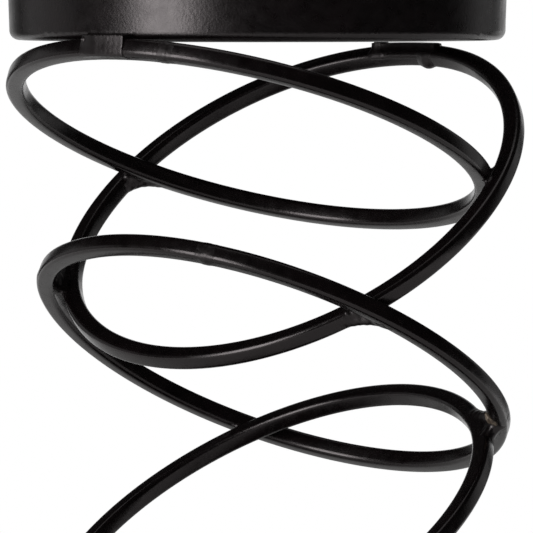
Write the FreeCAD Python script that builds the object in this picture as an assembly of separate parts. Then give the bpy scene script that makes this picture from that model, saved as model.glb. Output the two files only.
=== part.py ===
import FreeCAD, Part
import math
import os
from FreeCAD import Vector

# Tower candle holder: a pressed pan on six leaning rings of square bar, on a second pan turned over.
# The origin is the middle of the base on the floor, +Z is up, and all lengths are in millimetres.

# Driving sizes of the bar and the rings
bar = 4.0
bar_edge_radius = 0.7
ring_diameter = 110.0
bar_clearance = 0.2

# The second and the second last ring stop short of their pans, and their welds bridge the gap
pan_clearance = 1.5

# Lean of each ring in degrees, from the top ring down, and the compass direction of its highest point,
# counted from +X towards +Y
ring_lean_angles = [21.8, 37.8, 29.3, 33.6, 36.0, 21.8]
ring_direction_angles = [232.7, 51.6, 229.2, 40.7, 224.0, 52.0]

# How far each of the middle rings drops below the one above, as a share of what the two leans span
drop_shares = [0.575, 0.715, 0.62]

# The side on which a ring passes the ring above it at their two crossings: 1 is outside, -1 is inside
passes = [1, 1, -1, -1, -1]

# The second ring sits off the middle of the pan, across its lean
second_ring_offset = -2.9

# Driving sizes of the two pressed pans, whose flat floors are a little smaller all round than the rings
sheet = 1.2
pan_floor_inset = 2.3
pan_inner_corner_radius = 1.0
pan_height = 15.0
pan_draft_angle = 2.1
rim_edge_radius = 0.35

# Driving sizes of the welds: a crossing weld fills the forks between its two bars
fork_fill = 1.6
blunt_fork_fill = 0.5
pan_weld_grip = 1.5
seam_weld_width = 3.5
seam_weld_rise = 0.9

# The two welds on each pan, the one to the outermost ring first: its length, and how far its middle lies
# along the ring from where the ring comes nearest to the pan
pan_weld_lengths = [10.0, 13.0]
pan_weld_shifts = [0.0, 6.0]

# Where each ring's two ends meet, in degrees round the ring from its highest point
seam_angles = [15.0, -6.0, 20.0, 165.0, 165.0, 20.0]

# Sizes worked out from the driving sizes
ring_radius = (ring_diameter - bar) / 2
pan_floor_radius = ring_diameter / 2 - pan_floor_inset
pan_outer_corner_radius = pan_inner_corner_radius + sheet
pan_draft = math.radians(pan_draft_angle)
bead_steps = 6
bead_sides = 8
bead_tip_angle = math.radians(17)
full_turn = 360
UP = Vector(0, 0, 1)


def rounded_outline(corners):
    """A closed face from corners given as (point, radius), each one rounded by its own radius."""
    edges = []
    ends = []
    for index, (point, radius) in enumerate(corners):
        before = (corners[index - 1][0] - point).normalize()
        after = (corners[(index + 1) % len(corners)][0] - point).normalize()
        if radius == 0:
            ends.append((point, point))
            continue
        half_angle = before.getAngle(after) / 2
        setback = radius / math.tan(half_angle)
        start = point + before * setback
        end = point + after * setback
        middle_line = (before + after).normalize()
        middle = point + middle_line * (radius / math.sin(half_angle) - radius)
        edges.append(Part.Arc(start, middle, end).toShape())
        ends.append((start, end))
    for index, (start, end) in enumerate(ends):
        following = ends[(index + 1) % len(ends)][0]
        edges.append(Part.LineSegment(end, following).toShape())
    return Part.Face(Part.Wire(Part.__sortEdges__(edges)))


def bead(centre, along, reach, radius):
    """A spindle-shaped bead with blunt tips and flat facets: half an ellipse set round its long axis."""
    side = along.cross(UP).normalize()
    over = side.cross(along)
    rows = []
    for step in range(bead_steps + 1):
        angle = bead_tip_angle + (math.pi - 2 * bead_tip_angle) * step / bead_steps
        middle = centre + along * (reach * math.cos(angle))
        row = []
        for number in range(bead_sides):
            turn = math.pi * (2 * number + 1) / bead_sides
            outwards = side * math.cos(turn) + over * math.sin(turn)
            row.append(middle + outwards * (radius * math.sin(angle)))
        rows.append(row + row[:1])
    faces = [Part.Face(Part.makePolygon(rows[0])), Part.Face(Part.makePolygon(rows[-1]))]
    for first, second in zip(rows, rows[1:]):
        for number in range(bead_sides):
            corners = [first[number], first[number + 1], second[number + 1], second[number], first[number]]
            faces.append(Part.Face(Part.makePolygon(corners)))
    metal = Part.Solid(Part.Shell(faces))
    if metal.Volume < 0:
        metal.reverse()
    return metal


def largest_solid(shape):
    return max(shape.Solids, key=lambda solid: solid.Volume)


class Ring:
    """One leaning hoop of square bar: its middle, its lean and its radius along the bar's centre line."""

    def __init__(self, centre, lean_angle, direction_angle):
        lean = math.radians(lean_angle)
        direction = math.radians(direction_angle)
        flat = Vector(math.cos(direction), math.sin(direction), 0)
        self.centre = centre
        self.uphill = flat * math.cos(lean) + UP * math.sin(lean)
        self.across = Vector(-math.sin(direction), math.cos(direction), 0)
        self.normal = self.uphill.cross(self.across)
        self.rise = ring_radius * math.sin(lean)

    def outward(self, angle):
        return self.uphill * math.cos(angle) + self.across * math.sin(angle)

    def along(self, angle):
        return self.across * math.cos(angle) - self.uphill * math.sin(angle)

    def point(self, angle):
        return self.centre + self.outward(angle) * ring_radius

    def nearest_angle(self, point):
        """The place on the ring's centre line that is nearest to a point."""
        arm = point - self.centre
        return math.atan2(arm.dot(self.across), arm.dot(self.uphill))

    def half_width(self, angle, direction):
        """How far the bar reaches from its centre line in a direction square to the bar."""
        core = bar / 2 - bar_edge_radius
        sideways = abs(direction.dot(self.outward(angle))) + abs(direction.dot(self.normal))
        return core * sideways + bar_edge_radius

    def solid(self):
        half = bar / 2
        section = []
        for outwards, upwards in [(1, 1), (-1, 1), (-1, -1), (1, -1)]:
            corner = self.point(0) + self.uphill * (half * outwards) + self.normal * (half * upwards)
            section.append((corner, bar_edge_radius))
        return rounded_outline(section).revolve(self.centre, self.normal, full_turn)


class Seat:
    """The outside of a pan's floor and bottom corner, at a height, facing down (-1) or up (1)."""

    def __init__(self, height, facing):
        self.height = height
        self.facing = facing

    def towards(self, point):
        """The nearest spot of the floor or corner, and the direction from it to the point."""
        flat = Vector(point.x, point.y, 0)
        inside = min(flat.Length, pan_floor_radius)
        inset = self.height - self.facing * pan_outer_corner_radius
        centre = flat.normalize() * inside + UP * inset
        direction = (point - centre).normalize()
        return centre + direction * pan_outer_corner_radius, direction

    def clearance(self, ring, angle):
        point = ring.point(angle)
        spot, direction = self.towards(point)
        return (point - spot).dot(direction) - ring.half_width(angle, direction)

    def nearest_angle(self, ring):
        """Where the ring comes nearest to the pan, by narrowing down from its end of the tower."""
        middle = 0 if self.facing < 0 else math.pi
        low, high = middle - math.pi / 4, middle + math.pi / 4
        for step in range(60):
            third = (high - low) / 3
            if self.clearance(ring, low + third) < self.clearance(ring, high - third):
                high = high - third
            else:
                low = low + third
        return (low + high) / 2

    def least_clearance(self, ring):
        return self.clearance(ring, self.nearest_angle(ring))


class Crossing:
    """The place where two rings pass each other, on one side of the tower."""

    def __init__(self, upper, lower, side, passing):
        self.upper = upper
        self.lower = lower
        drop = (upper.centre.z - lower.centre.z) / (upper.rise + lower.rise)
        upper_angle = math.acos(-drop) * side
        for step in range(80):
            lower_angle = lower.nearest_angle(upper.point(upper_angle))
            upper_angle = upper.nearest_angle(lower.point(lower_angle))
        self.upper_angle = upper_angle
        self.lower_angle = lower_angle
        across = upper.along(upper_angle).cross(lower.along(lower_angle)).normalize()
        start = upper.point(upper_angle)
        end = lower.point(lower_angle)
        if across.dot(upper.outward(upper_angle)) < 0:
            across = -across
        self.across = across * passing
        upper_reach = upper.half_width(upper_angle, across)
        lower_reach = lower.half_width(lower_angle, across)
        self.clearance = (end - start).dot(self.across) - upper_reach - lower_reach
        self.middle = start + self.across * (upper_reach + self.clearance / 2)

    def fork(self):
        """The direction along the sharp forks between the two bars."""
        first = self.upper.along(self.upper_angle)
        second = self.lower.along(self.lower_angle)
        if first.dot(second) < 0:
            second = -second
        return (first + second).normalize()


def crossings(upper, lower, passing):
    return [Crossing(upper, lower, side, passing) for side in (1, -1)]


def solve(start, errors, step):
    """Newton's method: the values, near the start, at which every error is nothing."""
    values = list(start)
    size = len(values)
    for turn in range(12):
        base = errors(values)
        rows = []
        for column in range(size):
            moved = list(values)
            moved[column] += step
            rows.append([(after - before) / step for after, before in zip(errors(moved), base)])
        matrix = [[rows[column][row] for column in range(size)] + [-base[row]] for row in range(size)]
        for pivot in range(size):
            best = max(range(pivot, size), key=lambda row: abs(matrix[row][pivot]))
            matrix[pivot], matrix[best] = matrix[best], matrix[pivot]
            for row in range(size):
                if row != pivot:
                    factor = matrix[row][pivot] / matrix[pivot][pivot]
                    matrix[row] = [a - factor * b for a, b in zip(matrix[row], matrix[pivot])]
        values = [value + matrix[row][size] / matrix[row][row] for row, value in enumerate(values)]
    return values


def ring_beside(neighbour, index, height, passing, below):
    """A ring at a given height that touches its neighbour at both of their crossings."""
    def place(values):
        return Ring(Vector(values[0], values[1], height), ring_lean_angles[index], ring_direction_angles[index])

    def errors(values):
        pair = (neighbour, place(values)) if below else (place(values), neighbour)
        return [crossing.clearance - bar_clearance for crossing in crossings(*pair, passing)]

    return place(solve([neighbour.centre.x, neighbour.centre.y], errors, bar_edge_radius / 100))


def end_ring(neighbour, index, seat, passing, below):
    """The first or last ring, which touches its neighbour at both crossings and its pan's corner."""
    def place(values):
        return Ring(Vector(*values), ring_lean_angles[index], ring_direction_angles[index])

    def errors(values):
        ring = place(values)
        pair = (neighbour, ring) if below else (ring, neighbour)
        gaps = [crossing.clearance - bar_clearance for crossing in crossings(*pair, passing)]
        return gaps + [seat.least_clearance(ring) - bar_clearance]

    lean = math.radians(ring_lean_angles[index])
    reach = ring_radius * math.sin(lean) + bar
    start = [neighbour.centre.x, neighbour.centre.y, seat.height + seat.facing * reach]
    return place(solve(start, errors, bar_edge_radius / 100))


def place_rings(pan_seat):
    """All rings from the top down, and the level of the base pan's top face under them."""
    lean = math.radians(ring_lean_angles[1])
    off_middle = pan_floor_radius - bar / 2 - ring_radius * math.cos(lean)
    second = Ring(Vector(0, 0, 0), ring_lean_angles[1], ring_direction_angles[1])
    uphill = Vector(second.uphill.x, second.uphill.y, 0).normalize()
    centre = uphill * off_middle + second.across * second_ring_offset
    centre.z = pan_seat.height - pan_clearance - second.rise - second.half_width(0, UP)
    rings = [Ring(centre, ring_lean_angles[1], ring_direction_angles[1])]
    for index in range(2, len(ring_lean_angles) - 1):
        above = rings[-1]
        lean = math.radians(ring_lean_angles[index])
        drop = drop_shares[index - 2] * (above.rise + ring_radius * math.sin(lean))
        height = above.centre.z - drop
        rings.append(ring_beside(above, index, height, passes[index - 1], True))
    lowest = rings[-1]
    base_level = lowest.centre.z - lowest.rise - lowest.half_width(math.pi, UP) - pan_clearance
    base_seat = Seat(base_level, 1)
    first = end_ring(rings[0], 0, pan_seat, passes[0], False)
    last = end_ring(lowest, len(ring_lean_angles) - 1, base_seat, passes[-1], True)
    return [first] + rings + [last], base_seat


def pan_profile(seat, outline):
    """A body turned round the tower's middle line from (radius, depth, rounding) corners of a pan.

    The depth counts from the outside of the pan's floor towards its rim.
    """
    corners = [(Vector(radius, 0, seat.height - seat.facing * depth), rounding)
               for radius, depth, rounding in outline]
    return rounded_outline(corners).revolve(Vector(0, 0, 0), UP, full_turn)


def pan_corners():
    """The outer and inner corner and rim radii of the pan's wall, which leans out by the draft."""
    corner_slope = math.tan((math.pi / 2 - pan_draft) / 2)
    wall_slope = math.tan(pan_draft)
    outer_corner = pan_floor_radius + pan_outer_corner_radius * corner_slope
    inner_corner = pan_floor_radius + pan_inner_corner_radius * corner_slope
    outer_rim = outer_corner + pan_height * wall_slope
    inner_rim = inner_corner + (pan_height - sheet) * wall_slope
    return outer_corner, inner_corner, outer_rim, inner_rim


def pan(seat):
    outer_corner, inner_corner, outer_rim, inner_rim = pan_corners()
    return pan_profile(seat, [
        (0, 0, 0),
        (outer_corner, 0, pan_outer_corner_radius),
        (outer_rim, pan_height, rim_edge_radius),
        (inner_rim, pan_height, rim_edge_radius),
        (inner_corner, sheet, pan_inner_corner_radius),
        (0, sheet, 0),
    ])


def pan_filled(seat):
    """The space inside the pan's outer skin, which no weld may enter."""
    outer_corner, inner_corner, outer_rim, inner_rim = pan_corners()
    return pan_profile(seat, [
        (0, 0, 0),
        (outer_corner, 0, pan_outer_corner_radius),
        (outer_rim, pan_height, 0),
        (0, pan_height, 0),
    ])


def pan_weld(seat, ring, length, shift):
    """A bead between a ring and the pan, near the place where they come nearest to each other."""
    angle = seat.nearest_angle(ring) + shift / ring_radius
    spot, direction = seat.towards(ring.point(angle))
    gap = seat.clearance(ring, angle)
    middle = spot + direction * (gap / 2)
    metal = bead(middle, ring.along(angle), length / 2, gap / 2 + pan_weld_grip)
    return largest_solid(metal.cut(pan_filled(seat)).cut(ring.solid()))


def crossing_weld(crossing):
    """Weld metal between two crossing bars, which fills the forks on both sides of the crossing."""
    fork = crossing.fork()
    half_angle = crossing.upper.along(crossing.upper_angle).getAngle(fork)
    half_angle = min(half_angle, math.pi - half_angle)
    fork_reach = bar / 2 / math.sin(half_angle) + fork_fill
    blunt_reach = bar / 2 / math.cos(half_angle) + blunt_fork_fill
    metal = bead(crossing.middle, fork, fork_reach, blunt_reach)
    return largest_solid(metal.cut([crossing.upper.solid(), crossing.lower.solid()]))


def seam_weld(ring, angle):
    """The bump that the closing weld leaves on the inner side of a ring."""
    ball_radius = (seam_weld_width ** 2 / 4 + seam_weld_rise ** 2) / (2 * seam_weld_rise)
    depth = bar / 2 - ball_radius + seam_weld_rise
    ball = Part.makeSphere(ball_radius, ring.point(angle) - ring.outward(angle) * depth)
    return largest_solid(ball.cut(ring.solid()))


def all_pieces():
    tower_height = -place_rings(Seat(0, -1))[1].height
    pan_seat = Seat(tower_height + pan_height, -1)
    rings, base_seat = place_rings(pan_seat)
    pieces = {"candle_pan": pan(pan_seat), "base_pan": pan(base_seat)}
    for number, ring in enumerate(rings, 1):
        pieces[f"ring_{number}"] = ring.solid()
        pieces[f"seam_weld_{number}"] = seam_weld(ring, math.radians(seam_angles[number - 1]))
    for number in range(1, len(rings)):
        pair = crossings(rings[number - 1], rings[number], passes[number - 1])
        pair.sort(key=lambda crossing: crossing.middle.x)
        for side, crossing in zip(("left", "right"), pair):
            pieces[f"weld_{number}_to_{number + 1}_{side}"] = crossing_weld(crossing)
    for number, (length, shift) in enumerate(zip(pan_weld_lengths, pan_weld_shifts), 1):
        last = len(rings) + 1 - number
        pieces[f"weld_pan_to_{number}"] = pan_weld(pan_seat, rings[number - 1], length, shift)
        pieces[f"weld_base_to_{last}"] = pan_weld(base_seat, rings[last - 1], length, shift)
    print("rings reach from the base's top face over", round(tower_height, 2), "mm")
    print("whole height", round(tower_height + 2 * pan_height, 2), "mm")
    return pieces


os.makedirs("parts", exist_ok=True)
for name, shape in all_pieces().items():
    shape.exportStep(f"parts/{name}.step")
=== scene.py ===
import itertools
import math

import bmesh
import bpy
import numpy as np
from mathutils import Matrix, Vector, noise

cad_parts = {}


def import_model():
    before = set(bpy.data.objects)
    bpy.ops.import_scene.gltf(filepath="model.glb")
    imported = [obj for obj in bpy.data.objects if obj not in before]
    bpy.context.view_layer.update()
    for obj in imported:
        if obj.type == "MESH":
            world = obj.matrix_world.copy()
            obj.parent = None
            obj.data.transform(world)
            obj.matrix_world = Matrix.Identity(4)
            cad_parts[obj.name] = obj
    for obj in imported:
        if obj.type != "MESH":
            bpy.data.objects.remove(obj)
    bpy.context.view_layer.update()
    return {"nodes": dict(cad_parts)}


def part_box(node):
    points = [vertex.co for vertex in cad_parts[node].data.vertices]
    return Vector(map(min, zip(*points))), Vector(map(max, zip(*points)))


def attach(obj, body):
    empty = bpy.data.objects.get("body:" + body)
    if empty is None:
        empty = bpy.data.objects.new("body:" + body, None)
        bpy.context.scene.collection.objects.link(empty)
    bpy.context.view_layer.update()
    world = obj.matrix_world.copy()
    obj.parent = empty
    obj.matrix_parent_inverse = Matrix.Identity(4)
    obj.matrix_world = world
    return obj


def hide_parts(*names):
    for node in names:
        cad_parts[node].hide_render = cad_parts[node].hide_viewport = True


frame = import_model()

# Tower candle holder: a pan on leaning rings of square bar, which stand on a second pan turned over.
# All lengths are in metres unless a comment says millimetres, +Z is up, and the photograph looks along +Y.
# The pans keep their meshes from the frame. The rings and welds are built here, in place of theirs.
MM = 0.001
UP = Vector((0, 0, 1))
NODES = frame["nodes"]
RING_COUNT = sum(name.startswith("ring_") for name in NODES)

# Square bar of the rings. The coat makes it a little thicker and rounds its edges off a little more
BAR = 4 * MM
COATED_EDGE = 1.1 * MM
COATED_HALF = BAR / 2 + 0.05 * MM
EDGE_STEPS = 5
RING_STEPS = 720

# Where the real hoops leave the circle, as (degrees from the highest point, degrees wide, outward, upward),
# in millimetres
BENDS = {
    2: [(-28, 26, 0.2, 0.75), (-82, 28, -0.45, 0), (122, 20, 0.3, 0)],
    3: [(-44, 20, 0.8, 0), (135, 25, -0.75, 0)],
    4: [(-62, 18, -0.3, 0)],
}

# Pans
PAN_FLOOR_RADIUS = 52.7 * MM
PAN_CORNER = 2.2 * MM

# Weld metal: the grid that its skin is found on, how far a weld reaches at least, and how deep it lies in a
# bar where the bar's own skin shows
GRAIN = 0.2 * MM
STUB = 8 * MM
INSET = 0.1 * MM
RIPPLE = 1.3 * MM
RIPPLE_HEIGHT = 0.035 * MM
COARSE_LUMP = 1.5 * MM
COARSE_HEIGHT = 0.12 * MM

# Camera of the photograph
LENS = 472.8
CAMERA_PLACE = Vector((0.00201, -1.5505, 0.2121))
CAMERA_PITCH = math.radians(2.402)

# Black powder coat
BLACK = (0.0008, 0.0003, 0.0004)
SOFT_BLACK = (0.0026, 0.0014, 0.0016)
SHINE_TINT = (1, 0.92, 0.93, 1)
CLOUD_SIZE = 6 * MM
SHEEN_CLOUD_SIZE = 2.5 * MM
DUST_SIZE = 0.25 * MM
DUST_DEPTH = 0.006 * MM

# Studio. The floor has its own colour within the clear radius and fades to the white background from there.
# In mirrored rays the room is dark but for a white backdrop behind the object, whose edge lies between two
# cosines of the angle from its middle
FLOOR_RADIUS = 0.62
FLOOR_CLEAR_RADIUS = 0.3
AMBIENT = 0.45
ROOM_IN_GLOSS = 0.012
BACKDROP_DIRECTION = Vector((0.03, 1, 0.0)).normalized()
BACKDROP_EDGE = (0.86, 0.985)

# Lamps, as (azimuth and elevation in degrees, distance, width, height, radiance). Azimuth 0 stands at the
# camera and 90 at the right
LAMP_AIM = Vector((0, 0, 0.12))
LAMPS = {
    "key": (-43, 8, 1.0, 0.47, 0.75, 7.1),
    "top": (0, 85, 0.9, 0.7, 0.7, 0.8),
    "right": (125, 5, 1.1, 0.5, 0.6, 0.28),
    "left": (-112, 5, 1.0, 0.8, 0.6, 0.3),
}


# Small helpers

def mesh_object(name, mesh):
    piece = bpy.data.objects.new(name, mesh)
    bpy.context.scene.collection.objects.link(piece)
    return piece


def node_points(name):
    mesh = NODES[name].data
    points = np.empty(len(mesh.vertices) * 3)
    mesh.vertices.foreach_get("co", points)
    return points.reshape(-1, 3)


class Hoop:
    """A ring's middle, tilt and radius, measured on its node, and the small bends of a hoop made by hand."""

    def __init__(self, name, bends):
        points = node_points(name)
        middle = (points.min(0) + points.max(0)) / 2
        arms = points - middle
        values, axes = np.linalg.eigh(arms.T @ arms)
        self.centre = Vector(middle)
        self.normal = Vector(axes[:, 0])
        if self.normal.z < 0:
            self.normal = -self.normal
        flat = arms - np.outer(arms @ axes[:, 0], axes[:, 0])
        self.radius = np.linalg.norm(flat, axis=1).max() - BAR / 2
        self.uphill = (UP - self.normal * self.normal.z).normalized()
        self.across = self.normal.cross(self.uphill)
        self.bends = bends

    def angle(self, point):
        """Where on the ring a point is nearest, counted from the ring's highest point."""
        arm = point - self.centre
        return math.atan2(arm.dot(self.across), arm.dot(self.uphill))

    def outward(self, angle):
        return self.uphill * math.cos(angle) + self.across * math.sin(angle)

    def along(self, angle):
        return self.across * math.cos(angle) - self.uphill * math.sin(angle)

    def bend(self, angle):
        """How far the bar's centre line stands outward and upward of the circle, for one angle or many."""
        out = 0 * angle
        lift = 0 * angle
        for place, width, bend_out, bend_up in self.bends:
            off = (np.degrees(angle) - place + 180) % 360 - 180
            share = np.exp(-(off / width) ** 2)
            out = out + bend_out * MM * share
            lift = lift + bend_up * MM * share
        return out, lift

    def middle(self, angle):
        """The bar's centre line."""
        out, lift = self.bend(angle)
        return self.centre + self.outward(angle) * (self.radius + out) + UP * lift

    def corner(self, angle, out, up):
        return self.middle(angle) + self.outward(angle) * out + self.normal * up

    def distance(self, points):
        """How far points lie outside the bar's skin, less than nothing inside it."""
        arms = points - np.array(self.centre)
        angles = np.arctan2(arms @ np.array(self.across), arms @ np.array(self.uphill))
        out, lift = self.bend(angles)
        arms[:, 2] -= lift
        height = arms @ np.array(self.normal)
        radial = np.sqrt((arms ** 2).sum(1) - height ** 2) - self.radius - out
        return rounded_box(radial, height, COATED_HALF, COATED_HALF, COATED_EDGE)


def rounded_box(first, second, first_half, second_half, edge):
    """Distance in a plane from a rectangle with rounded corners, less than nothing inside it."""
    over = np.stack((np.abs(first) - first_half + edge, np.abs(second) - second_half + edge))
    return np.sqrt((np.maximum(over, 0) ** 2).sum(0)) + np.minimum(over.max(0), 0) - edge


def bar_section(half, edge):
    """Points round the bar's section, as (outward, upward) lengths."""
    core = half - edge
    points = []
    for quarter in range(4):
        turn = quarter * math.pi / 2
        corner = Matrix.Rotation(turn, 2) @ Vector((core, core))
        for step in range(EDGE_STEPS + 1):
            angle = turn + step / EDGE_STEPS * math.pi / 2
            points.append((corner.x + edge * math.cos(angle), corner.y + edge * math.sin(angle)))
    return points


def skin(shape, loops):
    """Faces between loops of points that follow one another all round a ring."""
    for first, second in zip(loops, loops[1:] + loops[:1]):
        for index in range(len(first)):
            following = (index + 1) % len(first)
            shape.faces.new((first[index], first[following], second[following], second[index]))


def ball(points, middle, radius):
    """Distance from a ball."""
    return np.linalg.norm(points - np.array(middle), axis=1) - radius


def melt(first, second, softness):
    """Two bodies run together, given by their distances, with a hollow fillet between them."""
    near = np.maximum(softness - np.abs(first - second), 0) / softness
    return np.minimum(first, second) - near ** 2 * softness / 4


def plate(points, corners, half_thickness):
    """Distance from a three-cornered plate with rounded edges."""
    first, second, third = [np.array(corner) for corner in corners]
    normal = np.cross(second - first, third - first)
    normal /= np.linalg.norm(normal)
    inside = np.ones(len(points), bool)
    nearest = np.full(len(points), np.inf)
    for start, end in ((first, second), (second, third), (third, first)):
        side = end - start
        arms = points - start
        share = np.clip(arms @ side / (side @ side), 0, 1)
        nearest = np.minimum(nearest, np.linalg.norm(arms - share[:, None] * side, axis=1))
        inside &= arms @ np.cross(normal, side) > 0
    flat = np.abs((points - first) @ normal)
    return np.where(inside, flat, nearest) - half_thickness


def net(field, origin):
    """The skin on which a field of distances is nothing: one point in each grid cell that it crosses."""
    inside = field < 0
    size = [count - 1 for count in field.shape]

    def part(array, offset):
        return array[tuple(slice(start, start + count) for start, count in zip(offset, size))]

    filled = sum(part(inside, corner).astype(int) for corner in itertools.product((0, 1), repeat=3))
    active = (filled > 0) & (filled < 8)
    sums = np.zeros((active.sum(), 3))
    hits = np.zeros(active.sum())
    for axis in range(3):
        for sides in itertools.product((0, 1), repeat=2):
            start = np.insert(sides, axis, 0)
            end = np.insert(sides, axis, 1)
            low = part(field, start)[active]
            high = part(field, end)[active]
            crossed = (low < 0) != (high < 0)
            sums[crossed] += start
            sums[crossed, axis] += low[crossed] / (low[crossed] - high[crossed])
            hits[crossed] += 1
    points = origin + (np.argwhere(active) + sums / hits[:, None]) * GRAIN
    index = np.full(active.shape, -1)
    index[active] = np.arange(active.sum())
    faces = []
    for axis in range(3):
        count = field.shape[axis]
        low = np.take(inside, range(count - 1), axis)
        high = np.take(inside, range(1, count), axis)
        spots = np.argwhere(low != high)
        loops = []
        for second_step, third_step in ((-1, -1), (0, -1), (0, 0), (-1, 0)):
            step = np.roll((0, second_step, third_step), axis)
            loops.append(index[tuple((spots + step).T)])
        quads = np.stack(loops, 1)
        facing_back = ~low[tuple(spots.T)]
        quads[facing_back] = quads[facing_back][:, ::-1]
        faces.append(quads)
    return points, np.concatenate(faces)


def weathered(point, along, middle, reach):
    """How far weld metal stands out at a point: ripples across the bead and unevenness all over."""
    distance = (point - middle).dot(along)
    fade = max(0, 1 - ((point - middle).length / reach) ** 4)
    ripple = math.sin(distance / RIPPLE * 2 * math.pi + 2 * noise.noise(point / RIPPLE)) * RIPPLE_HEIGHT
    coarse = noise.noise(point / COARSE_LUMP) * COARSE_HEIGHT
    return (ripple + coarse) * fade


def weld_piece(name, body, along, middle, reach, marks=1):
    """The skin of a body within reach of its middle, with the marks of a weld. The body is a function from
    points to their distances outside it."""
    steps = math.ceil(reach / GRAIN) + 2
    line = np.arange(-steps, steps + 1) * GRAIN
    grid = np.stack(np.meshgrid(line, line, line, indexing="ij"), -1).reshape(-1, 3)
    points = grid + np.array(middle)
    field = np.maximum(body(points), np.linalg.norm(grid, axis=1) - reach)
    places, faces = net(field.reshape(len(line), len(line), len(line)), np.array(middle) + line[0])
    metal = bpy.data.meshes.new(name)
    metal.from_pydata(places.tolist(), [], faces.tolist())
    normals = [vertex.normal.copy() for vertex in metal.vertices]
    for vertex, normal in zip(metal.vertices, normals):
        vertex.co += normal * weathered(vertex.co, along, middle, reach) * marks
    metal.shade_smooth()
    return mesh_object(name, metal)


def dress(piece, node, material):
    """Puts a piece in the place of a node of the frame."""
    piece.data.materials.clear()
    piece.data.materials.append(material)
    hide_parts(node)
    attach(piece, "root")


def ring_piece(number, hoop, material):
    """The coated bar swept round its hoop, in place of the ring's node."""
    section = bar_section(COATED_HALF, COATED_EDGE)
    shape = bmesh.new()
    loops = []
    for step in range(RING_STEPS):
        angle = step / RING_STEPS * 2 * math.pi
        loops.append([shape.verts.new(hoop.corner(angle, out, up)) for out, up in section])
    skin(shape, loops)
    bmesh.ops.recalc_face_normals(shape, faces=shape.faces)
    mesh = bpy.data.meshes.new(f"hoop_{number}")
    shape.to_mesh(mesh)
    shape.free()
    mesh.shade_smooth()
    dress(mesh_object(f"hoop_{number}", mesh), f"ring_{number}", material)


# Node trees

def new_material(name):
    material = bpy.data.materials.new(name)
    material.use_nodes = True
    tree = material.node_tree
    tree.nodes.clear()
    return material, tree


def node(tree, kind, **values):
    made = tree.nodes.new(kind)
    for key, value in values.items():
        setattr(made, key, value)
    return made


def show(tree, socket, kind="Material"):
    output = node(tree, "ShaderNodeOutput" + kind)
    tree.links.new(socket, output.inputs["Surface"])


def grain(tree, size, detail):
    """Noise whose features are about as large as the size."""
    place = node(tree, "ShaderNodeTexCoord")
    texture = node(tree, "ShaderNodeTexNoise")
    texture.inputs["Scale"].default_value = 1 / size
    texture.inputs["Detail"].default_value = detail
    tree.links.new(place.outputs["Object"], texture.inputs["Vector"])
    return texture.outputs["Fac"]


def spread(tree, value, low, high, start=0.3, end=0.7):
    """A value between start and end, spread between low and high."""
    scale = node(tree, "ShaderNodeMapRange")
    for socket, amount in zip(("From Min", "From Max", "To Min", "To Max"), (start, end, low, high)):
        scale.inputs[socket].default_value = amount
    tree.links.new(value, scale.inputs["Value"])
    return scale.outputs["Result"]


def two_tone(tree, value, first, second):
    mix = node(tree, "ShaderNodeMix", data_type="RGBA")
    mix.inputs["A"].default_value = (*first, 1)
    mix.inputs["B"].default_value = (*second, 1)
    tree.links.new(value, mix.inputs["Factor"])
    return mix.outputs["Result"]


def relief(tree, layers):
    """Bump from several (height value, strength, depth) layers."""
    normal = None
    for height, strength, depth in layers:
        bump = node(tree, "ShaderNodeBump")
        bump.inputs["Strength"].default_value = strength
        bump.inputs["Distance"].default_value = depth
        tree.links.new(height, bump.inputs["Height"])
        if normal:
            tree.links.new(normal, bump.inputs["Normal"])
        normal = bump.outputs["Normal"]
    return normal


def coat_material(name, peel_size, peel_depth, least_roughness, most_roughness):
    """Black powder coat: faint clouding of colour and gloss, and the fine orange peel of the coat."""
    material, tree = new_material(name)
    shader = node(tree, "ShaderNodeBsdfPrincipled")
    shader.inputs["Specular Tint"].default_value = SHINE_TINT
    clouds = spread(tree, grain(tree, CLOUD_SIZE, 3), 0, 1)
    tree.links.new(two_tone(tree, clouds, BLACK, SOFT_BLACK), shader.inputs["Base Color"])
    sheen_clouds = grain(tree, SHEEN_CLOUD_SIZE, 4)
    roughness = spread(tree, sheen_clouds, least_roughness, most_roughness)
    tree.links.new(roughness, shader.inputs["Roughness"])
    peel = relief(tree, [(grain(tree, peel_size, 2), 0.5, peel_depth),
                         (grain(tree, DUST_SIZE, 1), 0.25, DUST_DEPTH)])
    tree.links.new(peel, shader.inputs["Normal"])
    show(tree, shader.outputs["BSDF"])
    return material


ring_coat = coat_material("ring_coat", 0.8 * MM, 0.03 * MM, 0.2, 0.3)
pan_coat = coat_material("pan_coat", 0.6 * MM, 0.07 * MM, 0.26, 0.34)
weld_coat = coat_material("weld_coat", 0.7 * MM, 0.06 * MM, 0.28, 0.42)

for name in ("candle_pan", "base_pan"):
    for place in NODES[name].material_slots:
        place.material = pan_coat


# Welds where two rings cross

def node_middle(name):
    points = node_points(name)
    return Vector((points.min(0) + points.max(0)) / 2)


# How softly the bars of a crossing run together, in millimetres: in the sharp fork that points up and the
# one that points down, then in the blunt fork that points up and the one that points down
USUAL_SOFTNESS = (3.2, 3.2, 1.6, 1.6)
SOFTNESS = {
    "weld_1_to_2_left": (2.4, 2.4, 1.0, 3.0),
    "weld_1_to_2_right": (4.6, 2.4, 1.0, 1.4),
    "weld_2_to_3_right": (2.0, 2.0, 1.0, 2.0),
    "weld_2_to_3_left": (5.0, 4.5, 1.4, 2.0),
    "weld_3_to_4_right": (4.5, 3.0, 2.0, 2.0),
    "weld_3_to_4_left": (2.4, 3.2, 1.4, 1.4),
}
LEAST_SOFTNESS = 0.8

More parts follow.
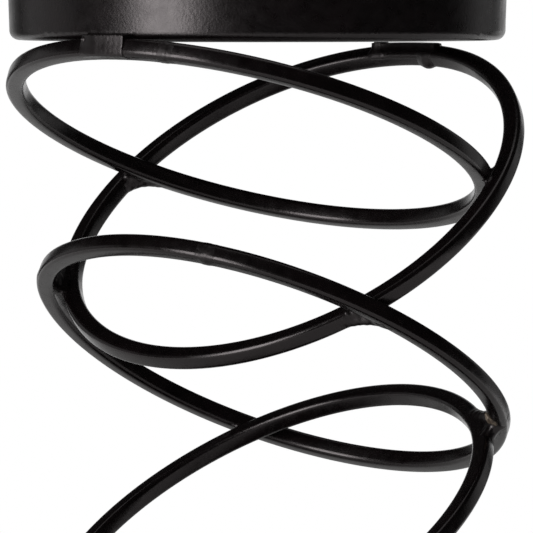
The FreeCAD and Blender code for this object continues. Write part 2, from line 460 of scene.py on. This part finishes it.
# Plates of weld metal that fill a whole fork, one or more for each weld: how far along the upper and the
# lower bar they reach, to the right when the number is above nothing, in millimetres
PLATES = {
    "weld_1_to_2_left": [(6.5, -4.5)],
    "weld_2_to_3_right": [(-6.3, 5.8)],
    "weld_2_to_3_left": [(-11.0, -10.0)],
    "weld_3_to_4_right": [(8.0, -8.5), (5.5, 6.0)],
}
PLATE_HALF = 1.1 * MM
PLATE_FILLET = 1.5 * MM

# Drops of weld metal on the crossings, as (share of the way from the lower to the upper bar, height and
# distance towards the photograph's camera from there, radius), in millimetres
BEADS = {
    "weld_1_to_2_left": [(0.2, -1.6, 2.0, 0.9), (0.1, -2.6, 1.9, 0.8)],
    "weld_3_to_4_right": [(0.5, 0.2, 2.2, 1.3)],
}
BEAD_FILLET = 0.7 * MM


def rightward(direction):
    """A line's direction, turned so that it points to the photograph's right."""
    return direction if direction.x > 0 else -direction


def crossing_weld(name, upper, lower):
    """Metal in the forks between two hoops where they cross."""
    middle = node_middle(name)
    upper_angle = upper.angle(middle)
    lower_angle = lower.angle(middle)
    upper_line = rightward(upper.along(upper_angle))
    lower_line = rightward(lower.along(lower_angle))
    same_way = upper_line.dot(lower_line) > 0
    forks = []
    for upper_side in (1, -1):
        for lower_side in (1, -1):
            fork = (upper_line * upper_side + lower_line * lower_side).normalized()
            sharp = (upper_side == lower_side) == same_way
            softness = SOFTNESS.get(name, USUAL_SOFTNESS)[(0 if sharp else 2) + (0 if fork.z > 0 else 1)]
            forks.append((np.array(fork), softness))

    def body(points):
        arms = points - np.array(middle)
        arms /= np.linalg.norm(arms, axis=1)[:, None] + GRAIN
        softness = np.full(len(points), LEAST_SOFTNESS)
        for fork, wanted in forks:
            softness += (wanted - LEAST_SOFTNESS) * np.maximum(arms @ fork, 0) ** 4
        metal = melt(upper.distance(points) + INSET, lower.distance(points) + INSET, softness * MM)
        for upper_reach, lower_reach in PLATES.get(name, []):
            corners = [middle, upper.middle(upper_angle) + upper_line * upper_reach * MM,
                       lower.middle(lower_angle) + lower_line * lower_reach * MM]
            metal = melt(metal, plate(points, corners, PLATE_HALF), PLATE_FILLET)
        for share, lift, near, radius in BEADS.get(name, []):
            drop = lower.middle(lower_angle).lerp(upper.middle(upper_angle), share)
            drop += Vector((0, -near * MM, lift * MM))
            metal = melt(metal, ball(points, drop, radius * MM), BEAD_FILLET)
        return metal

    reaches = [abs(reach) for reach in itertools.chain(*PLATES.get(name, []))]
    far = max(reaches, default=0) * MM + 2.5 * PLATE_HALF
    return weld_piece(name + "_bead", body, upper_line, middle, max(STUB, far))


# Welds on the pans: where they start and end along their ring, to the right of their middle in the frame,
# in millimetres. How deep they may lie in the pan's skin, how strong their marks are, and the fold from
# which their shading has an edge
PAN_WELDS = {
    "first": (-3.6, 8.6),
    "second": (-2.5, 15.0),
}
PAN_SKIN_DEPTH = 0.6 * MM
PAN_WELD_MARKS = 0.12
SHARP_FOLD = math.radians(30)

# The second one is a low ridge on the ring, with a gap to the pan that one short bridge crosses, given in
# millimetres as above
BRIDGE = (-1.5, -0.3)
BRIDGE_FILLET = 0.8 * MM
RIDGE_HALF = BAR * 0.42
RIDGE_GAP = 1.1 * MM
RIDGE_FILLET = 1.4 * MM

# The first one has an upright face in front of the ring, at a radius from the pan's axis. The face's middle
# lies off the pan's floor on the ring's side, and the face draws back towards its left end. Two small drops,
# given in millimetres along the ring and towards the pan, stand on it
FACE_RADIUS = 58.1 * MM
FACE_HALF = 2.2 * MM
FACE_DROP = 0.65 * MM
FACE_EDGE = 0.1 * MM
FACE_TAPER = 5 * MM
FACE_THINNER = 1.6 * MM
FACE_FILLET = 1.2 * MM
VALLEY_FILL = 0.6 * MM
DROPS = [(-2.6, 1.3), (4.4, 1.4)]
DROP_OUT = 2.5 * MM
DROP_RADIUS = 0.5 * MM
DROP_FILLET = 0.3 * MM


def pan_weld(name, hoop, pan, facing, kind):
    """Metal between a ring and a pan that faces down (-1) or up (1)."""
    middle = node_middle(name)
    angle = hoop.angle(middle)
    ahead = rightward(hoop.along(angle))
    low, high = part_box(pan)
    level = low.z if facing < 0 else high.z
    start, end = [reach * MM for reach in PAN_WELDS[kind]]
    centre = middle + ahead * ((start + end) / 2)
    half_length = (end - start) / 2

    def body(points):
        reach = (points - np.array(middle)) @ np.array(ahead)
        length = np.abs(reach - (start + end) / 2) - half_length
        depth = (points[:, 2] - level) * -facing
        wide = np.hypot(points[:, 0], points[:, 1]) - PAN_FLOOR_RADIUS
        over = np.stack((np.maximum(wide, 0), np.maximum(PAN_CORNER - depth, 0)))
        skin_distance = np.sqrt((over ** 2).sum(0)) - PAN_CORNER
        skin_distance = np.where((wide < 0) & (depth > PAN_CORNER), -PAN_CORNER, skin_distance)
        bar = hoop.distance(points)
        if kind == "first":
            thinner = np.clip((start - reach) / FACE_TAPER + 1, 0, 1) ** 2 * FACE_THINNER
            out = np.hypot(points[:, 0], points[:, 1]) - FACE_RADIUS + thinner
            face = rounded_box(out + FACE_HALF, depth + FACE_DROP, FACE_HALF, FACE_HALF, FACE_EDGE)
            metal = melt(melt(bar, face, FACE_FILLET), skin_distance, VALLEY_FILL)
            metal = np.maximum(metal, length)
            for place, lift in DROPS:
                drop = hoop.corner(hoop.angle(middle + ahead * place * MM), DROP_OUT, lift * MM * -facing)
                metal = melt(metal, ball(points, drop, DROP_RADIUS), DROP_FILLET)
        else:
            arms = points - np.array(hoop.centre)
            flat = np.array(hoop.outward(angle)) * (1, 1, 0)
            flat /= np.linalg.norm(flat)
            middle_line = np.array(hoop.middle(angle)) - np.array(hoop.centre)
            bow = reach ** 2 / (2 * hoop.radius)
            off = np.abs((arms - middle_line) @ flat + bow)
            column = np.maximum(off - RIDGE_HALF, -(depth + BAR))
            bridge = np.abs(reach - sum(BRIDGE) / 2 * MM) - (BRIDGE[1] - BRIDGE[0]) / 2 * MM
            metal = np.maximum(np.maximum(column, depth + RIDGE_GAP), length)
            metal = melt(metal, np.maximum(np.maximum(column, depth), bridge), BRIDGE_FILLET)
            metal = melt(metal, bar + INSET, RIDGE_FILLET)
        metal = np.minimum(metal, bar + INSET)
        return np.maximum(metal, -skin_distance - PAN_SKIN_DEPTH)

    piece = weld_piece(name + "_bead", body, ahead, centre, half_length + 1.2 * BAR, PAN_WELD_MARKS)
    piece.data.set_sharp_from_angle(angle=SHARP_FOLD)
    return piece


# How far the ball of metal at a ring's closing weld stands out, and how far it lies along the ring to the
# right of its place in the frame, in millimetres. Then the band round the bar: how high and how wide it is,
# and how far from it the metal sinks under the bar's skin
SEAM_RISES = {2: (0.62, 1.3)}
USUAL_SEAM = (-0.15, 0)
SEAM_BALL = 1.75 * MM
SEAM_FILLET = 1.2 * MM
SEAM_REACH = 4.5 * MM
SEAM_MARKS = 0.4
BAND_HEIGHT = 0.03 * MM
BAND_WIDTH = 1.2 * MM
BAND_END = 2.4 * MM


def seam_piece(name, number, hoop):
    """The bump and the faint band round the bar where a ring's two ends are welded together."""
    middle = node_middle(name)
    rise, shift = SEAM_RISES.get(number, USUAL_SEAM)
    angle = hoop.angle(middle + rightward(hoop.along(hoop.angle(middle))) * shift * MM)
    along = hoop.along(angle)
    centre = hoop.middle(angle)
    inward = BAR / 2 + rise * MM - SEAM_BALL
    bump = hoop.corner(angle, -inward, -inward)

    def body(points):
        reach = (points - np.array(centre)) @ np.array(along)
        band = hoop.distance(points) - BAND_HEIGHT * np.exp(-(reach / BAND_WIDTH) ** 2)
        band += INSET * (np.abs(reach) > BAND_END)
        return melt(band, ball(points, bump, SEAM_BALL), SEAM_FILLET)

    return weld_piece(name + "_bead", body, along, centre, SEAM_REACH, SEAM_MARKS)


hoops = {number: Hoop(f"ring_{number}", BENDS.get(number, [])) for number in range(1, RING_COUNT + 1)}
for number, hoop in hoops.items():
    ring_piece(number, hoop, ring_coat)
    dress(seam_piece(f"seam_weld_{number}", number, hoop), f"seam_weld_{number}", weld_coat)
for name in sorted(NODES):
    words = name.split("_")
    if words[0] != "weld":
        continue
    if words[1] in ("pan", "base"):
        number = int(words[-1])
        facing_down = words[1] == "pan"
        kind = "first" if number in (1, RING_COUNT) else "second"
        pan = "candle_pan" if facing_down else "base_pan"
        made = pan_weld(name, hoops[number], pan, -1 if facing_down else 1, kind)
    else:
        made = crossing_weld(name, hoops[int(words[1])], hoops[int(words[3])])
    dress(made, name, weld_coat)


# Lumps of bare metal where the coat is missing by one weld, under the third ring: how far up along the ring
# from the weld, how far outward and upward of the bar's middle, and the radius, all in millimetres
BARE_LUMPS = [
    (9.3, -2.3, -1.3, 0.6),
    (8.7, -1.7, -1.7, 0.85),
    (8.0, -1.0, -1.9, 0.8),
    (7.2, -0.3, -2.0, 0.6),
    (6.2, 0.3, -2.0, 0.4),
    (7.5, -1.7, -1.9, 0.7),
]


BARE_FILLET = 0.5 * MM
BARE_REACH = 4 * MM
RUST = (0.035, 0.026, 0.02)
STEEL = (0.2, 0.155, 0.115)
STAIN_SIZE = 0.7 * MM


def bare_metal():
    hoop = hoops[3]
    weld = node_middle("weld_3_to_4_right")
    start = hoop.angle(weld)
    uphill = math.copysign(1, hoop.along(start).z)
    lumps = []
    for reach, out, lift, radius in BARE_LUMPS:
        place = hoop.corner(start + uphill * reach * MM / hoop.radius, out * MM, lift * MM)
        lumps.append((place, radius * MM))

    def body(points):
        metal = np.full(len(points), STUB)
        for place, radius in lumps:
            metal = melt(metal, ball(points, place, radius), BARE_FILLET)
        return metal

    piece = weld_piece("weld_3_to_4_bare", body, UP, lumps[2][0], BARE_REACH)
    material, tree = new_material("bare_weld")
    shader = node(tree, "ShaderNodeBsdfPrincipled")
    stains = spread(tree, grain(tree, STAIN_SIZE, 3), 0, 1)
    tree.links.new(two_tone(tree, stains, RUST, STEEL), shader.inputs["Base Color"])
    shader.inputs["Metallic"].default_value = 0.4
    shader.inputs["Roughness"].default_value = 0.45
    show(tree, shader.outputs["BSDF"])
    piece.data.materials.append(material)
    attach(piece, "root")


bare_metal()


# Floor, background and light

def math_node(tree, operation, first, second):
    made = node(tree, "ShaderNodeMath", operation=operation)
    tree.links.new(first, made.inputs[0])
    tree.links.new(second, made.inputs[1])
    return made.outputs["Value"]


def ray_kinds(tree):
    """1 for rays seen straight, and 1 for rays that are mirrored or pass through glass."""
    path = node(tree, "ShaderNodeLightPath")
    mirrored = math_node(tree, "MAXIMUM", path.outputs["Is Glossy Ray"], path.outputs["Is Transmission Ray"])
    return path.outputs["Is Camera Ray"], mirrored


def floor():
    shape = bmesh.new()
    bmesh.ops.create_circle(shape, cap_ends=True, segments=96, radius=FLOOR_RADIUS)
    mesh = bpy.data.meshes.new("floor")
    shape.to_mesh(mesh)
    shape.free()
    piece = mesh_object("floor", mesh)
    material, tree = new_material("floor")
    paint = node(tree, "ShaderNodeBsdfPrincipled")
    paint.inputs["Roughness"].default_value = 0.6
    tint = two_tone(tree, grain(tree, 60 * MM, 2), (0.7, 0.7, 0.7), (0.73, 0.73, 0.72))
    tree.links.new(tint, paint.inputs["Base Color"])
    white = node(tree, "ShaderNodeEmission")
    place = node(tree, "ShaderNodeTexCoord")
    distance = node(tree, "ShaderNodeVectorMath", operation="LENGTH")
    tree.links.new(place.outputs["Object"], distance.inputs[0])
    outside = spread(tree, distance.outputs["Value"], 0, 1, FLOOR_CLEAR_RADIUS, FLOOR_RADIUS * 0.97)
    background_rays = math_node(tree, "MAXIMUM", *ray_kinds(tree))
    share = math_node(tree, "MULTIPLY", outside, background_rays)
    mix = node(tree, "ShaderNodeMixShader")
    tree.links.new(share, mix.inputs["Fac"])
    tree.links.new(paint.outputs["BSDF"], mix.inputs[1])
    tree.links.new(white.outputs["Emission"], mix.inputs[2])
    show(tree, mix.outputs["Shader"])
    mesh.materials.append(material)


def world():
    made = bpy.data.worlds.new("studio")
    bpy.context.scene.world = made
    made.use_nodes = True
    tree = made.node_tree
    tree.nodes.clear()
    straight, mirrored = ray_kinds(tree)
    place = node(tree, "ShaderNodeTexCoord")
    towards = node(tree, "ShaderNodeVectorMath", operation="DOT_PRODUCT")
    towards.inputs[1].default_value = BACKDROP_DIRECTION
    tree.links.new(place.outputs["Generated"], towards.inputs[0])
    backdrop = spread(tree, towards.outputs["Value"], ROOM_IN_GLOSS, 1, *BACKDROP_EDGE)
    levels = node(tree, "ShaderNodeMix", data_type="FLOAT")
    levels.inputs["A"].default_value = AMBIENT
    tree.links.new(mirrored, levels.inputs["Factor"])
    tree.links.new(backdrop, levels.inputs["B"])
    strength = node(tree, "ShaderNodeMix", data_type="FLOAT")
    strength.inputs["B"].default_value = 1
    tree.links.new(straight, strength.inputs["Factor"])
    tree.links.new(levels.outputs["Result"], strength.inputs["A"])
    light = node(tree, "ShaderNodeBackground")
    light.inputs["Color"].default_value = (1, 1, 1, 1)
    tree.links.new(strength.outputs["Result"], light.inputs["Strength"])
    show(tree, light.outputs["Background"], "World")


def soft_box(name, azimuth, elevation, distance, width, height, radiance):
    """A rectangular lamp aimed at the middle of the tower."""
    turn = math.radians(azimuth)
    lift = math.radians(elevation)
    out = Vector((math.sin(turn) * math.cos(lift), -math.cos(turn) * math.cos(lift), math.sin(lift)))
    lamp = bpy.data.lights.new(name, "AREA")
    lamp.shape = "RECTANGLE"
    lamp.size = width
    lamp.size_y = height
    lamp.energy = radiance * math.pi * width * height
    piece = bpy.data.objects.new(name, lamp)
    bpy.context.scene.collection.objects.link(piece)
    piece.location = LAMP_AIM + out * distance
    piece.rotation_mode = "QUATERNION"
    piece.rotation_quaternion = (-out).to_track_quat("-Z", "Y")


def camera():
    lens = bpy.data.cameras.new("camera")
    lens.lens = LENS
    lens.sensor_width = 36
    lens.clip_start = 0.01
    lens.clip_end = 50
    piece = bpy.data.objects.new("camera", lens)
    bpy.context.scene.collection.objects.link(piece)
    piece.location = CAMERA_PLACE
    piece.rotation_euler = (math.pi / 2 - CAMERA_PITCH, 0, 0)
    bpy.context.scene.camera = piece


floor()
world()
for name, values in LAMPS.items():
    soft_box(name, *values)
camera()
bpy.context.scene.view_settings.view_transform = "Standard"
